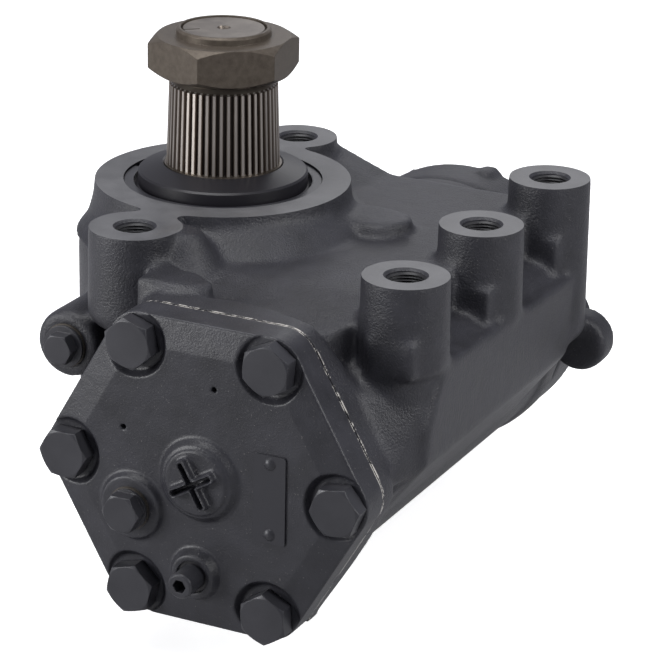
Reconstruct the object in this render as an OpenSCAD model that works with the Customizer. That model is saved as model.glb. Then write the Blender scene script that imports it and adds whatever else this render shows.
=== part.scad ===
// Recirculating-ball power steering gear for a heavy vehicle.
// Z runs up along the output (sector) shaft, from the machined mounting face at zero.
// Y runs along the cylinder, from the six-sided cylinder cover in front to the valve and input shaft behind.
// X runs from the output shaft towards the row of three mounting bosses.

/* [Mounting face] */
// Distance between neighbouring mounting bosses along the cylinder
boss_pitch = 84; // [80:1:88]
// Distance from the output shaft to the row of three bosses
boss_row_x = 141; // [138:1:144]
// How far the middle boss lies in front of the output shaft
boss_shift = 3; // [1:1:5]
// Radius of the three bosses in the row and of the rear boss by the shaft
boss_r = 20.5; // [18:0.5:22]
// Radius of the front boss by the shaft
front_boss_r = 22; // [20:0.5:24]
// Radius of the tapped mounting holes, M20 x 1.5 at its crests
mount_hole_r = 9.2; // [8.2:0.1:10.2]
// Depth of the tapped mounting holes
mount_hole_depth = 34; // [28:1:38]
// Outer radius of the machined ring round the shaft
ring_r = 63.5; // [61:0.5:65]

/* [Output shaft] */
// Radius of the upper journal
journal_r = 30; // [29.5:0.5:31]
// Radius of the serration at its thick lower end
serration_r = 28; // [27:0.25:28.5]
// Taper of the serration, as radius lost per millimetre of height
serration_taper = 0.033; // [0.02:0.001:0.04]
// Number of teeth of the serration
serration_teeth = 48; // [36:1:60]
// Depth of the serration grooves
serration_depth = 1.7; // [1:0.1:2.2]
// Height of the serration's lower end over the mounting face
serration_z = 9.5; // [9:0.5:12]
// Length of the serration
serration_len = 39.4; // [34:0.2:44]
// Radius of the threaded end, M42 x 1.5
thread_r = 21; // [18:0.5:22]
// Height of the shaft's end face over the mounting face
shaft_top_z = 76.2; // [75.5:0.1:82]

/* [Pitman arm nut] */
// Width of the nut across its flats
nut_af = 65; // [60:1:70]
// Height of the nut's lower face over the mounting face
nut_z = 54.5; // [53:0.5:56]
// Thickness of the six-sided part
nut_h = 18.2; // [16:0.2:20]
// Radius of the staking collar on top of the nut
nut_collar_r = 23.2; // [22.6:0.2:26]
// Height of the staking collar
nut_collar_h = 4; // [3:0.5:5]
// Turn of the nut's corners about the shaft
nut_turn = 6.7; // [0:0.1:30]

/* [Gear pair] */
// Module of the sector teeth and the rack
gear_module = 9; // [8.8:0.05:9.1]
// Teeth that a whole gear of the sector's size would have
gear_count = 9; // [9:1:9]
// Distance from the piston's axis to the rack's pitch line
rack_offset = 30; // [29.5:0.1:30.5]
// Pressure angle of the teeth
pressure_angle = 25; // [24.5:0.1:25.5]
// Height of a tooth over the pitch line, as a share of the module
addendum = 0.8; // [0.78:0.01:0.82]
// Depth of a tooth under the pitch line, as a share of the module
dedendum = 0.94; // [0.92:0.01:0.98]
// Play between the teeth on each side
gear_play = 0.12; // [0.1:0.01:0.2]
// Length of the sector teeth along the shaft
sector_w = 60; // [54:1:62]

/* [Cylinder] */
// Depth of the cylinder's axis under the mounting face
cyl_depth = 91; // [90:0.5:92]
// Radius of the cylinder bore
bore_r = 52.5; // [52:0.1:53]
// Outer radius of the cylinder
barrel_r = 68.5; // [67:0.5:69]
// Joint between the cylinder and its cover, in front of the shaft
joint_y = 131; // [128:1:134]
// Closed end of the bore, behind the shaft
bore_end_y = 99; // [98:1:104]
// Joint between the housing and the valve housing, behind the shaft
valve_joint_y = 113; // [113:1:118]

/* [Cylinder cover] */
// Distance from the cover's axis to each of its six flat sides
cover_apothem = 74; // [73:0.5:76]
// Radius of the cover's rounded corners
cover_corner_r = 17; // [15:1:19]
// Thickness of the cover
cover_t = 20; // [18:0.5:22]
// Thickness of the flange that the cover is bolted to
flange_t = 12; // [11:1:14]
// Radius of the circle of cover bolts
cover_bolt_ring = 70; // [69:0.5:71]
// Radius of a cover bolt's shank, M14
cover_bolt_r = 7; // [6:0.5:7]
// Width of a cover bolt's head across its flats
cover_bolt_af = 22; // [19:1:22]
// Height of a cover bolt's head
cover_bolt_head = 8.8; // [8:0.2:9.4]
// Length of a cover bolt under its head
cover_bolt_len = 30; // [28:1:31]
// Depth of the faced pocket under each bolt head
cover_pocket = 3.8; // [2:0.2:5]
// Width of the slope that runs along each side of the cover's face
rim_slope_w = 14; // [10:1:16]
// Fall of that slope, in degrees
rim_slope = 12; // [6:1:14]

/* [Piston] */
// Gap between the piston and the bore
piston_gap = 0.3; // [0.25:0.05:0.4]
// Front end of the piston at mid travel, in front of the shaft
piston_front = 90; // [88:1:90]
// Rear end of the piston at mid travel, behind the shaft
piston_rear = 63; // [60:1:64]
// Turn of the output shaft to each side, in degrees
lock_angle = 45; // [30:1:45]

/* [Worm and balls] */
// Travel of the piston for one turn of the worm
worm_lead = 13.5; // [13:0.1:14]
// Radius of the worm over its lands
worm_r = 12.9; // [12.5:0.1:13]
// Radius of the circle that the ball centres lie on
ball_ring = 13.6; // [13.4:0.1:14]
// Radius of one ball
ball_r = 3.175; // [3:0.025:3.2]
// Turns of the ball circuit
ball_turns = 4; // [3:1:4]
// Balls in each turn
balls_per_turn = 12; // [10:1:12]

/* [Side cover] */
// Thickness of the side cover's flange
side_cover_t = 10; // [9:0.5:12]
// Radius of the side cover
side_cover_r = 70; // [69:0.5:71]
// Radius of the side cover's bolt circle
side_bolt_ring = 60.5; // [60:0.25:61.5]
// Number of side cover bolts
side_bolts = 8; // [6:1:8]

/* [Valve and input shaft] */
// Outer radius of the valve housing
valve_r = 70; // [68:0.5:70]
// Length of the valve housing's body
valve_len = 31; // [31:1:36]
// Radius of the nose round the input shaft
nose_r = 31; // [30:0.5:34]
// Length of the nose
nose_len = 24; // [22:1:28]
// Radius of the input shaft at its serration
input_r = 11; // [10.5:0.25:11.5]
// Number of serration teeth on the input shaft
input_teeth = 36; // [24:1:40]
// Length of the input serration
input_serration_len = 26; // [20:1:30]
// Turn of the input shaft against the worm to each side, in degrees
valve_angle = 4; // [2:0.5:4]
// Radius of the pressure and return ports, M22 x 1.5 at its crests
port_r = 10.2; // [9:0.1:10.5]

/* [Hidden] */
$fn = 64;
eps = 0.01;
hull_fn = 32;
fit = 0.05;
gap = 0.3;
pitch_r = gear_module * gear_count / 2;
cyl_x = pitch_r + rack_offset;
cyl_z = -cyl_depth;
cover_face_y = -joint_y - cover_t;
valve_rear_y = valve_joint_y + valve_len;
nose_y = valve_rear_y + nose_len;
piston_r = bore_r - piston_gap;
row_ys = [-boss_pitch - boss_shift, -boss_shift, boss_pitch - boss_shift];
flat_x = boss_row_x + 18;
tip_r = pitch_r + addendum * gear_module;
root_r = pitch_r - dedendum * gear_module;
base_r = pitch_r * cos(pressure_angle);
chamber_r = tip_r + 2.4;
hub_r = 27.4;
deck_z = -18;
bottom_ring_r = 71.5;
tooth_step = 360 / gear_count;
lock_travel = pitch_r * lock_angle * PI / 180;
side_joint_z = cyl_depth + barrel_r + 0.5;

// Placing and shared shapes

module along_cylinder(y) {
  translate([cyl_x, y, cyl_z]) rotate([-90, 0, 0]) children();
}

module tube(r_out, r_in, h) {
  rotate_extrude() translate([r_in, 0]) square([r_out - r_in, h]);
}

// Round bar with both rims bevelled
module bevelled(r, h, c) {
  rotate_extrude() polygon([[0, 0], [r - c, 0], [r, c], [r, h - c], [r - c, h], [0, h]]);
}

module torus(ring, r) {
  rotate_extrude() translate([ring, 0]) circle(r, $fn = 32);
}

// Hexagon bar whose two end faces are bevelled round
module hex_bar(af, h, low = true, high = true) {
  far = af / sqrt(3);
  c = (far - af / 2) * 0.62;
  a = low ? c : 0;
  b = high ? c : 0;
  intersection() {
    cylinder(r = far, h = h, $fn = 6);
    rotate_extrude() polygon([
      [0, 0], [far - (low ? far - af / 2 : 0), 0], [far, a], [far, h - b],
      [far - (high ? far - af / 2 : 0), h], [0, h]
    ]);
  }
}

// Hexagon with round corners, its vertices on the X axis at 0, 60, 120 degrees and so on
module round_hex(apothem, r) {
  hub = (apothem - r) / cos(30);
  union() {
    polygon([for (k = [0:5]) for (s = [-30, 30])
      [hub * cos(60 * k) + r * cos(60 * k + s), hub * sin(60 * k) + r * sin(60 * k + s)]]);
    for (k = [0:5]) rotate(60 * k) translate([hub, 0]) circle(r);
  }
}

// Places children on a circle
module around(n, ring, start = 0) {
  for (k = [0:n - 1]) rotate([0, 0, start + 360 * k / n]) translate([ring, 0, 0]) children();
}

// Round mounting column with a softened rim and a rounded foot
module boss(r, low) {
  rotate_extrude() polygon([
    [0, 0], [r - 0.6, 0], [r, -0.8], [r + 0.6, low + 7], [r - 4, low + 1.6], [r - 10, low], [0, low]
  ]);
}

// Housing

module cylinder_blank() {
  along_cylinder(-joint_y + 1) cylinder(r = barrel_r, h = joint_y + valve_joint_y - 3);
  // Six-sided flange with a shoulder that runs back into the barrel
  along_cylinder(-joint_y) intersection() {
    linear_extrude(flange_t + 20) round_hex(cover_apothem, cover_corner_r);
    rotate_extrude() polygon([
      [0, 0], [90, 0], [90, flange_t], [80, flange_t], [75, flange_t + 5], [barrel_r + 1.2, flange_t + 11],
      [barrel_r - 1, flange_t + 18], [0, flange_t + 18]
    ]);
  }
  // Flange that carries the valve housing
  along_cylinder(valve_joint_y - 16) bevelled(valve_r, 16, 1.5);
}

module sector_barrel() {
  low = -side_joint_z;
  rotate_extrude() polygon([
    [0, 0], [ring_r - 0.8, 0], [ring_r, -0.8], [ring_r + 0.6, -8], [ring_r + 3.2, -17.6],
    [bottom_ring_r - 0.8, -27], [bottom_ring_r, -31], [bottom_ring_r, low + 1], [bottom_ring_r - 1, low], [0, low]
  ]);
  // Slope from the ring down to the deck, on the front and on the side of the row
  translate([7, -7, -25]) cylinder(r1 = 77, r2 = 52, h = 22);
}

module shaft_bosses() {
  translate([0, row_ys[0], 0]) boss(front_boss_r, -50);
  translate([0, row_ys[2], 0]) boss(boss_r, -56);
  // Neck of machined face between the ring and the front boss
  translate([-9, row_ys[0] + 6, -30]) cube([20, 30, 30]);
  translate([-10, row_ys[2] - 28, -34]) cube([22, 24, 33]);
}

module row_boss(y, low) {
  translate([boss_row_x, y, 0]) boss(boss_r, low);
  translate([boss_row_x, y - 10, low + 4]) cube([flat_x - boss_row_x, 19, -low - 5.6]);
  translate([web_x - 6, y - boss_r - 0.6, low + 4]) cube([flat_x - 3.5 - web_x + 6, boss_r, -low - 29.5]);
}

module row_bosses() {
  row_boss(row_ys[0], -48);
  row_boss(row_ys[1], -52);
  row_boss(row_ys[2], -86);
}

// Top deck between the ring and the row of bosses, falling away towards the front flange
module deck() {
  translate([30, -72, cyl_z + 30]) cube([web_x - 30, 172, deck_z - cyl_z - 30]);
  hull() {
    translate([30, -74, cyl_z + 20]) cube([web_x - 30, 4, deck_z - cyl_z - 20]);
    translate([32, -joint_y + flange_t + 3, cyl_z + 20]) cube([78, 4, deck_z - cyl_z - 30]);
  }
}

// Slope from the rear boss down to the deck, and the rear wall
module rear_saddle() {
  hull() {
    translate([2, row_ys[2] + 4, -40]) cube([10, 14, 35]);
    translate([44, row_ys[2] - 4, -44]) cube([8, 22, 24]);
    translate([20, row_ys[2] - 34, -44]) cube([16, 10, 26]);
  }
}

// Side wall under the row of bosses, which runs down into the barrel
module side_wall() {
  hull() {
    wall_slice(-104, -94, 3);
    wall_slice(-97, -67, 0);
    wall_slice(-88, -52, 0);
    wall_slice(-82, -41, 0);
    wall_slice(70, -46, 0);
    wall_slice(79, -46.5, 3.5);
    wall_slice(83, -47, 12);
  }
  hull() {
    wall_slice(-122, -103, 2);
    wall_slice(-100, -93, 2);
  }
}

// Thin upright slice of the side wall up to a given height, moved in by a given distance
module wall_slice(y, top, inset) {
  translate([-inset, y, 0]) rotate([90, 0, 0]) linear_extrude(0.1) intersection() {
    polygon([[136, -30], [flat_x + 2.2, -30], [flat_x - 0.4, -87], [121, -135], [100, -120], [120, -60]]);
    translate([90, top - 120]) square([90, 120]);
  }
}

// Upright slice of the skirt between the row's front boss and the flange
module skirt_slice(y, points) {
  translate([0, y, 0]) rotate([90, 0, 0]) linear_extrude(0.1) polygon(points);
}

module front_skirt() {
  hull() {
    skirt_slice(-96, [[100, -38], [137, -43], [156.5, -56], [157, -88], [120, -110], [100, -100]]);
    skirt_slice(-119.5, [[100, -44], [129, -50], [143, -73], [149, -92], [120, -110], [100, -100]]);
  }
}

module side_lobe() {
  translate([lobe_x, -lobe_front, lobe_z]) rotate([-90, 0, 0]) bevelled(lobe_r, 56, 2.5);
}

module rear_ear() {
  translate([154, 95, cyl_z]) rotate([-90, 0, 0]) bevelled(15.2, 17, 1.5);
  translate([120, 95, cyl_z - 9]) cube([34, 17, 18]);
}

// Places of the port boss on the shaft side and of small cast pads
web_x = boss_row_x - 4;
lobe_x = -31;
lobe_z = -61.5;
lobe_r = 17;
lobe_front = 100;

module cast_pads() {
  translate([78, 14.5, deck_z - 4]) bevelled(16, 10.5, 2);
  hull() {
    translate([18, -118, -34]) cube([20, 22, 21]);
    translate([44, -107, -34]) cylinder(r = 8, h = 19.4, $fn = hull_fn);
  }
  // Raised pad under the rear of the barrel
  intersection() {
    along_cylinder(104) cylinder(r = barrel_r + 2.2, h = valve_joint_y - 104);
    translate([96, 100, cyl_z - 80]) cube([60, 60, 50]);
  }
}

module mount_hole() {
  rotate_extrude() polygon([
    [0, -mount_hole_depth - 4], [mount_hole_r, -mount_hole_depth], [mount_hole_r, -1.2],
    [mount_hole_r + 2.2, 1], [0, 1]
  ]);
}

module housing_hollows() {
  // Cylinder bore and the way through to the valve
  along_cylinder(-joint_y - 1) cylinder(r = bore_r, h = joint_y + bore_end_y + 1);
  along_cylinder(bore_end_y - 1) cylinder(r = worm_bearing_r, h = valve_joint_y - bore_end_y + 2);
  // Room for the sector, open downwards
  translate([0, 0, -side_joint_z - 1]) cylinder(r = chamber_r, h = side_joint_z + 1 + chamber_top);
  // Bearing, seal and ring seats round the shaft
  translate([0, 0, chamber_top - 1]) cylinder(r = journal_r + 1.5, h = -chamber_top + 2);
  translate([0, 0, upper_bearing_z]) cylinder(r = upper_race_r, h = -upper_bearing_z + 1);
  translate([0, 0, seal_z]) cylinder(r = seal_seat_r, h = -seal_z + 1);
  // Tapped holes
  translate([0, row_ys[0], 0]) mount_hole();
  translate([0, row_ys[2], 0]) mount_hole();
  for (y = row_ys) translate([boss_row_x, y, 0]) mount_hole();
  along_cylinder(-joint_y - 1) around(6, cover_bolt_ring)
    cylinder(r = cover_bolt_r, h = 1 + cover_bolt_len - cover_t + cover_pocket + 1.4);
  along_cylinder(valve_joint_y - 22) around(6, valve_bolt_ring) cylinder(r = valve_bolt_r, h = 23);
  translate([0, 0, -side_joint_z - 1]) around(side_bolts, side_bolt_ring, side_bolt_turn)
    cylinder(r = side_bolt_r, h = 16);
  // Port in the side lobe, through to the sector chamber
  translate([lobe_x, -lobe_front - 1, lobe_z]) rotate([-90, 0, 0]) cylinder(r = side_port_r, h = 66);
  translate([lobe_x, -lobe_front - 1, lobe_z]) rotate([-90, 0, 0]) cylinder(r = 12.5, h = 2);
}

// Values for seats that several pieces share
worm_bearing_r = 31;
chamber_top = -57;
upper_bearing_z = -49;
upper_race_r = journal_r + 6;
seal_z = -17;
seal_seat_r = 49.2;
valve_bolt_r = 5;
valve_bolt_ring = valve_r - 9.5;
side_bolt_r = 5;
side_bolt_turn = 22.5;
side_port_r = 7;

module housing() {
  color("dimgray") difference() {
    union() {
      cylinder_blank();
      sector_barrel();
      shaft_bosses();
      row_bosses();
      deck();
      rear_saddle();
      side_wall();
      front_skirt();
      side_lobe();
      rear_ear();
      cast_pads();
    }
    housing_hollows();
  }
}

// Cylinder cover and what is on it

plug_x = -35;
plug_z = -20;
limiter_x = -1.5;
limiter_z = -47;
plate_x = 36;
plate_z = -2;
cover_plug_r = 6;
limiter_r = 6.2;
limiter_pin_r = 2;

// Puts children on the cover's face, looking out of the face, at a place measured from its axis
module on_cover(x, z) {
  translate([cyl_x + x, cover_face_y, cyl_z + z]) rotate([90, 0, 0]) children();
}

module cover_blank() {
  along_cylinder(cover_face_y) intersection() {
    linear_extrude(cover_t) round_hex(cover_apothem, cover_corner_r);
    cylinder(r1 = 84, r2 = 84 + 6 * cover_t, h = cover_t);
  }
  // Spigot that enters the bore
  along_cylinder(-joint_y - eps) cylinder(r = bore_r - fit, h = 8 + eps);
}

module cover_bosses() {
  // Round pad in the middle, inside a sloping collar
  on_cover(0, 0) translate([0, 0, -1]) cylinder(r1 = 21.5, r2 = 17.5, h = 4.5);
  on_cover(0, 0) translate([0, 0, -1]) bevelled(16, 6, 0.8);
  // Cross of two raised bars on the pad
  for (a = [30, 120]) on_cover(0, 0) rotate([0, 0, a]) translate([-12.4, -2.3, 3]) cube([24.8, 4.6, 6.5]);
  on_cover(plug_x, plug_z) translate([0, 0, -1]) cylinder(r1 = 17.4, r2 = 15, h = 4);
  on_cover(limiter_x, limiter_z) translate([0, 0, -1]) cylinder(r1 = 13.5, r2 = 10.5, h = 6);
}

module rotate_cover(a) {
  on_cover(cover_bolt_ring * cos(a), cover_bolt_ring * sin(a)) children();
}

module cover_hollows() {
  for (k = [0:5]) rotate_cover(60 * k) {
    translate([0, 0, -cover_pocket]) cylinder(r1 = 14.6, r2 = 18.6, h = cover_pocket + 2);
    translate([0, 0, -cover_t - 1]) cylinder(r = cover_bolt_r + 0.5, h = cover_t);
  }
  // Slopes along the six sides
  along_cylinder(cover_face_y) for (k = [0:5]) rotate([0, 0, 30 + 60 * k])
    translate([cover_apothem - rim_slope_w, -80, 0]) rotate([0, -rim_slope, 0])
      translate([0, 0, -20]) cube([40, 160, 20]);
  // Slots along the bars of the cross
  for (a = [30, 120]) on_cover(0, 0) rotate([0, 0, a]) translate([-11.6, -1.3, 3.6]) cube([23.2, 2.6, 8]);
  on_cover(plug_x, plug_z) translate([0, 0, -cover_t - 12]) cylinder(r = cover_plug_r, h = cover_t + 16);
  on_cover(limiter_x, limiter_z) translate([0, 0, -cover_t + 5]) cylinder(r = limiter_r, h = cover_t + 3);
  on_cover(limiter_x, limiter_z) translate([0, 0, -cover_t - 12]) cylinder(r = limiter_pin_r + fit, h = 20);
  on_cover(limiter_x, limiter_z) translate([0, 0, 1.5]) cylinder(r = limiter_r + 1.6, h = 5);
  for (p = pin_holes) on_cover(p[0], p[1]) translate([0, 0, -4]) cylinder(r = 1.35, h = 5);
  for (s = [-1, 1]) on_cover(plate_x, plate_z + s * rivet_pitch / 2)
    translate([0, 0, -5]) cylinder(r = rivet_r, h = 6);
  // Groove for the sealing ring in the spigot
  along_cylinder(-joint_y + 2) tube(bore_r + 1, bore_r - 2.6, 3.4);
}

pin_holes = [[7, 45], [-40, 18]];
rivet_pitch = 34.5;
rivet_r = 1.5;

module cylinder_cover() {
  color("dimgray") difference() {
    union() {
      cover_blank();
      cover_bosses();
    }
    cover_hollows();
  }
}

module hex_bolt(r, len, af, head, washer_r) {
  translate([0, 0, -len]) bevelled(r, len + eps, 0.8);
  cylinder(r = washer_r, h = 0.8);
  translate([0, 0, 0.8 - eps]) hex_bar(af, head - 0.8, low = false);
}

module cover_bolts() {
  color("#4a4a4d") for (k = [0:5]) rotate_cover(60 * k)
    translate([0, 0, -cover_pocket]) rotate([0, 0, 8 + 17 * k])
      hex_bolt(cover_bolt_r - fit, cover_bolt_len, cover_bolt_af, cover_bolt_head, cover_bolt_af / 2 - 0.2);
}

module cover_o_ring() {
  color("black") along_cylinder(-joint_y + 3.7) torus(bore_r - 1.3, 1.25);
}

module cover_port_plug() {
  color("#3c3c3f") on_cover(plug_x, plug_z) {
    translate([0, 0, -14]) bevelled(cover_plug_r - fit, 14 + 4.6, 0.6);
    translate([0, 0, 4.5]) cylinder(r = 10, h = 1.6);
    translate([0, 0, 6]) hex_bar(17, 6.5, low = false);
  }
}

module cover_plug_seal() {
  color("#55504a") on_cover(plug_x, plug_z) translate([0, 0, 3]) tube(10.4, cover_plug_r + fit, 1.5);
}

module limiter_screw() {
  color("#3c3c3f") on_cover(limiter_x, limiter_z) difference() {
    union() {
      translate([0, 0, -cover_t + 5.2]) bevelled(limiter_r - fit, cover_t - 5.2 + 16.5, 0.8);
      translate([0, 0, -cover_t - 6]) cylinder(r = limiter_pin_r, h = 12);
    }
    translate([0, 0, 9.5]) cylinder(r = 3.45, h = 8, $fn = 6);
  }
}

module limiter_seal() {
  color("black") on_cover(limiter_x, limiter_z) translate([0, 0, 1.5]) tube(limiter_r + 1.5, limiter_r + fit, 2.2);
}

module type_plate() {
  color("#46464a") on_cover(plate_x, plate_z) difference() {
    linear_extrude(0.9) union() {
      square([16, 40], center = true);
      square([13, 43], center = true);
      for (x = [-6.5, 6.5], y = [-20, 20]) translate([x, y]) circle(1.5);
    }
    for (s = [-1, 1]) translate([0, s * rivet_pitch / 2, -1]) cylinder(r = rivet_r + fit, h = 3);
  }
}

module plate_rivets() {
  color("#4c4c50") for (s = [-1, 1]) on_cover(plate_x, plate_z + s * rivet_pitch / 2) {
    translate([0, 0, -4.8]) cylinder(r = rivet_r - fit, h = 5.8);
    translate([0, 0, 0.9]) rotate_extrude() intersection() {
      translate([0, -2.6]) circle(4, $fn = 48);
      square([4, 4]);
    }
  }
}

module side_port_plug() {
  color("#3c3c3f") translate([lobe_x, -lobe_front + 1, lobe_z]) rotate([90, 0, 0]) {
    translate([0, 0, -14]) bevelled(side_port_r - fit, 15.6, 0.6);
    translate([0, 0, 1.5]) cylinder(r = 10.4, h = 1.6);
    translate([0, 0, 3]) hex_bar(14, 6, low = false);
  }
}

module side_plug_seal() {
  color("#55504a") translate([lobe_x, -lobe_front + 1, lobe_z]) rotate([90, 0, 0])
    tube(10.8, side_port_r + fit, 1.5);
}

// Side cover under the sector

lower_journal_r = 25;
lower_journal_low = -154;
lower_race_r = lower_journal_r + 5;
lower_bearing_z = -152;
lower_bearing_h = 18;
spigot_r = chamber_r - fit;
spigot_h = 18;
screw_r = 7;
lock_nut_h = 7;

module side_cover() {
  color("dimgray") difference() {
    union() {
      translate([0, 0, -side_joint_z - side_cover_t]) bevelled(side_cover_r, side_cover_t, 1.5);
      translate([0, 0, -side_joint_z - 1]) cylinder(r = spigot_r, h = spigot_h + 1);
      translate([0, 0, -side_joint_z - 1]) cylinder(r = lower_race_r + 5, h = 27);
      translate([0, 0, -side_joint_z - side_cover_t - 2.5]) cylinder(r1 = 20, r2 = 24, h = 2.6);
      // Ribs from the middle boss to the bolt bosses
      for (k = [0:side_bolts - 1]) rotate([0, 0, side_bolt_turn + 360 * k / side_bolts])
        translate([18, -2.5, -side_joint_z - side_cover_t - 2]) cube([32, 5, 3]);
    }
    // Hollow spigot with the lower bearing seat in its middle
    difference() {
      translate([0, 0, -side_joint_z + 2]) cylinder(r = spigot_r - 7, h = 40);
      translate([0, 0, -side_joint_z]) cylinder(r = lower_race_r + 5, h = 43);
    }
    translate([0, 0, lower_bearing_z - 4]) cylinder(r = lower_race_r, h = 60);
    translate([0, 0, -side_joint_z - 30]) cylinder(r = screw_r, h = 60);
    translate([0, 0, -side_joint_z - 40]) around(side_bolts, side_bolt_ring, side_bolt_turn)
      cylinder(r = side_bolt_r + 0.5, h = 60);
    translate([0, 0, -side_joint_z + 5]) tube(spigot_r + 2, spigot_r - 2.6, 3.4);
  }
}

module side_cover_bolts() {
  color("#4a4a4d") translate([0, 0, -side_joint_z - side_cover_t]) mirror([0, 0, 1])
    around(side_bolts, side_bolt_ring, side_bolt_turn) hex_bolt(side_bolt_r - fit, 24, 16, 6.4, 7.8);
}

module side_cover_o_ring() {
  color("black") translate([0, 0, -side_joint_z + 6.7]) torus(chamber_r - 1.35, 1.25);
}

// Screw that sets the play of the gear pair, its head held in the end of the sector shaft
module lash_adjusting_screw() {
  low = -side_joint_z - side_cover_t - 2.5 - lock_nut_h - 4;
  color("#55555a") difference() {
    union() {
      translate([0, 0, low]) bevelled(screw_r - fit, lower_journal_low + 3 - low, 0.8);
      translate([0, 0, lower_journal_low + 3 - eps]) cylinder(r = 11, h = 4);
    }
    translate([0, 0, low - 1]) cylinder(r = 3.45, h = 5, $fn = 6);
  }
}

module lash_lock_nut() {
  color("#55555a") translate([0, 0, -side_joint_z - side_cover_t - 2.5 - lock_nut_h]) difference() {
    hex_bar(24, lock_nut_h);
    translate([0, 0, -1]) cylinder(r = screw_r, h = lock_nut_h + 2);
  }
}

// Bearings and seals of the output shaft

module race(r_out, r_in, h) {
  tube(r_out, r_in + 1.2, h);
  tube(r_out, r_in + 0.4, 1);
  translate([0, 0, h - 1]) tube(r_out, r_in + 0.4, 1);
}

upper_race_h = 28;
roller_r = 2;
upper_roller_ring = journal_r + roller_r + fit;
lower_roller_ring = lower_journal_r + roller_r + fit;

module upper_bearing_race() {
  color("#9a9a9e") translate([0, 0, upper_bearing_z]) tube(upper_race_r - fit, journal_r + 2 * roller_r + 2 * fit, upper_race_h);
}

module upper_bearing_rollers() {
  color("#b0b0b4") translate([0, 0, upper_bearing_z + 1.5]) around(40, upper_roller_ring)
    cylinder(r = roller_r, h = upper_race_h - 3, $fn = 24);
}

module lower_bearing_race() {
  color("#9a9a9e") translate([0, 0, lower_bearing_z])
    tube(lower_race_r - fit, lower_journal_r + 2 * roller_r + 2 * fit, lower_bearing_h);
}

module lower_bearing_rollers() {
  color("#b0b0b4") translate([0, 0, lower_bearing_z + 1.5]) around(34, lower_roller_ring)
    cylinder(r = roller_r, h = lower_bearing_h - 3, $fn = 24);
}

module shaft_seal() {
  color("black") translate([0, 0, seal_z + 0.2]) rotate_extrude() polygon([
    [journal_r + fit, 5], [journal_r + 3, 0], [seal_seat_r - fit, 0], [seal_seat_r - fit, 10.5],
    [journal_r + 9, 10.5], [journal_r + 6, 7.5], [journal_r + fit, 7.5]
  ]);
}

cap_flange_z = -6;
cap_r = seal_seat_r - 7.2;
cap_top = 4.9;

// Rubber cap that keeps water off the seal
module dust_cap() {
  inner = journal_r - 1 + 0.08;
  color("#26262a") rotate_extrude() polygon([
    [journal_r + 4, cap_flange_z], [seal_seat_r - 0.4, cap_flange_z], [seal_seat_r - 0.4, -3.4],
    [cap_r + 1.6, -3.4], [cap_r, -2.4], [cap_r, cap_top - 0.9], [cap_r - 0.9, cap_top], [inner + 0.9, serration_z - 1.1],
    [inner, serration_z - 1.6], [inner, serration_z - 3.6], [inner + 2, serration_z - 3.6], [cap_r - 4, 2.6],
    [cap_r - 4, -2], [journal_r + 4, -3]
  ]);
}

module seal_retaining_ring() {
  color("#303034") translate([0, 0, -3.2]) difference() {
    tube(seal_seat_r - 0.3, cap_r + 2.2, 2.2);
    rotate([0, 0, 180]) translate([cap_r, -2.5, -1]) cube([12, 5, 5]);
  }
}

// Output shaft with its toothed sector

// Angle between a point of the involute at radius r and where the curve leaves its base circle
function involute(r) = let (t = sqrt(pow(r / base_r, 2) - 1)) t * 180 / PI - atan(t);

// Half the angle that one tooth takes at radius r
function half_tooth(r) =
  (gear_module * PI / 4 - gear_play) / pitch_r * 180 / PI + involute(pitch_r) - involute(max(r, base_r));

flank_steps = 6;
flank_rs = concat([root_r], [for (k = [0:flank_steps]) base_r + (tip_r - base_r) * k / flank_steps]);

module sector_tooth() {
  polygon(concat(
    [[root_r - 6, -6]],
    [for (r = flank_rs) [r * cos(half_tooth(r)), -r * sin(half_tooth(r))]],
    [for (k = [len(flank_rs) - 1:-1:0]) let (r = flank_rs[k]) [r * cos(half_tooth(r)), r * sin(half_tooth(r))]],
    [[root_r - 6, 6]]
  ));
}

module sector_profile() {
  intersection() {
    circle(root_r);
    polygon([[0, 0], [root_r, -2 * root_r], [2 * root_r, -2 * root_r], [2 * root_r, 2 * root_r], [root_r, 2 * root_r]]);
  }
  circle(hub_r);
  for (k = [-1:1]) rotate(tooth_step * k) sector_tooth();
}

function serration_outline(r, n, depth) = [
  for (k = [0:n - 1]) for (p = [[-0.3, 1], [-0.09, 0], [0.09, 0], [0.3, 1]])
    let (a = 360 / n * (k + p[0]), q = r - depth * (1 - p[1])) [q * cos(a), q * sin(a)]
];

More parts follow.
